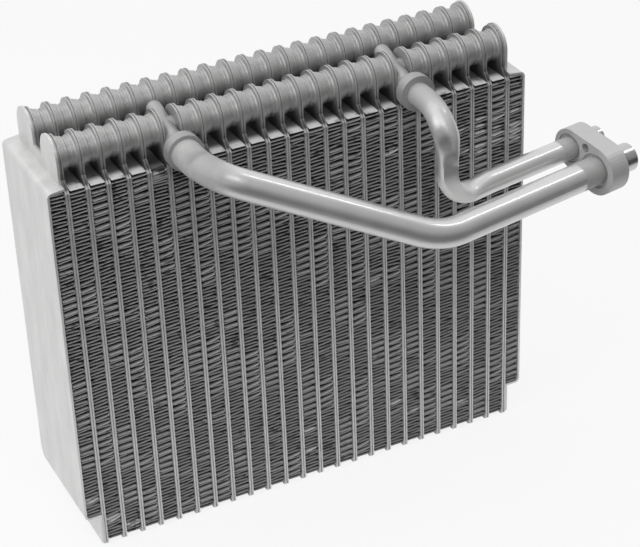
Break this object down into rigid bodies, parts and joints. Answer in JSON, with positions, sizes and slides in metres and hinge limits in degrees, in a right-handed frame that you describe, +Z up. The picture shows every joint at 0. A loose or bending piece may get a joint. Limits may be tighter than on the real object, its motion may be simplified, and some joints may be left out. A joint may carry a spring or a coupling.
{
  "type": "evaporator core",
  "caption": "Laminated plate-and-fin evaporator core in brazed aluminium, with serpentine fins, round-ended tanks, end sheets, bent refrigerant pipes and a port block.",
  "frame": {"origin": "middle of the foot of the tube that stands half way along the core", "axes": "+X along the core towards the end the pipes leave by, -Y towards the pipes, +Z up"},
  "size_m": [0.3173, 0.1409, 0.2459],
  "materials": {
    "tube": "matt, as brazed",
    "fin": "matt, as brazed",
    "end_sheet": "satin",
    "adapter": "matt, as brazed",
    "pipe": "satin drawn pipe",
    "block": "matt",
    "stub": "machined"
  },
  "bodies": {
    "root": {"tube_01": "tube", "tube_02": "tube", "tube_03": "tube", "tube_04": "tube", "tube_05": "tube", "tube_06": "tube", "tube_07": "tube", "tube_08": "tube", "tube_09": "tube", "tube_10": "tube", "tube_11": "tube", "tube_12": "tube", "tube_13": "tube", "tube_14": "tube", "tube_15": "tube", "tube_16": "tube", "tube_17": "tube", "tube_18": "tube", "tube_19": "tube", "tube_20": "tube", "tube_21": "tube", "tube_22": "tube", "tube_23": "tube", "tube_24": "tube", "fin_01": "fin", "fin_02": "fin", "fin_03": "fin", "fin_04": "fin", "fin_05": "fin", "fin_06": "fin", "fin_07": "fin", "fin_08": "fin", "fin_09": "fin", "fin_10": "fin", "fin_11": "fin", "fin_12": "fin", "fin_13": "fin", "fin_14": "fin", "fin_15": "fin", "fin_16": "fin", "fin_17": "fin", "fin_18": "fin", "fin_19": "fin", "fin_20": "fin", "fin_21": "fin", "fin_22": "fin", "fin_23": "fin", "fin_24": "fin", "fin_25": "fin", "end_sheet_left": "end_sheet", "end_sheet_right": "end_sheet", "suction_adapter": "adapter", "liquid_adapter": "adapter", "suction_pipe": "pipe", "liquid_pipe": "pipe", "flange_block": "block", "suction_stub": "stub", "liquid_stub": "stub"}
  },
  "joints": []
}
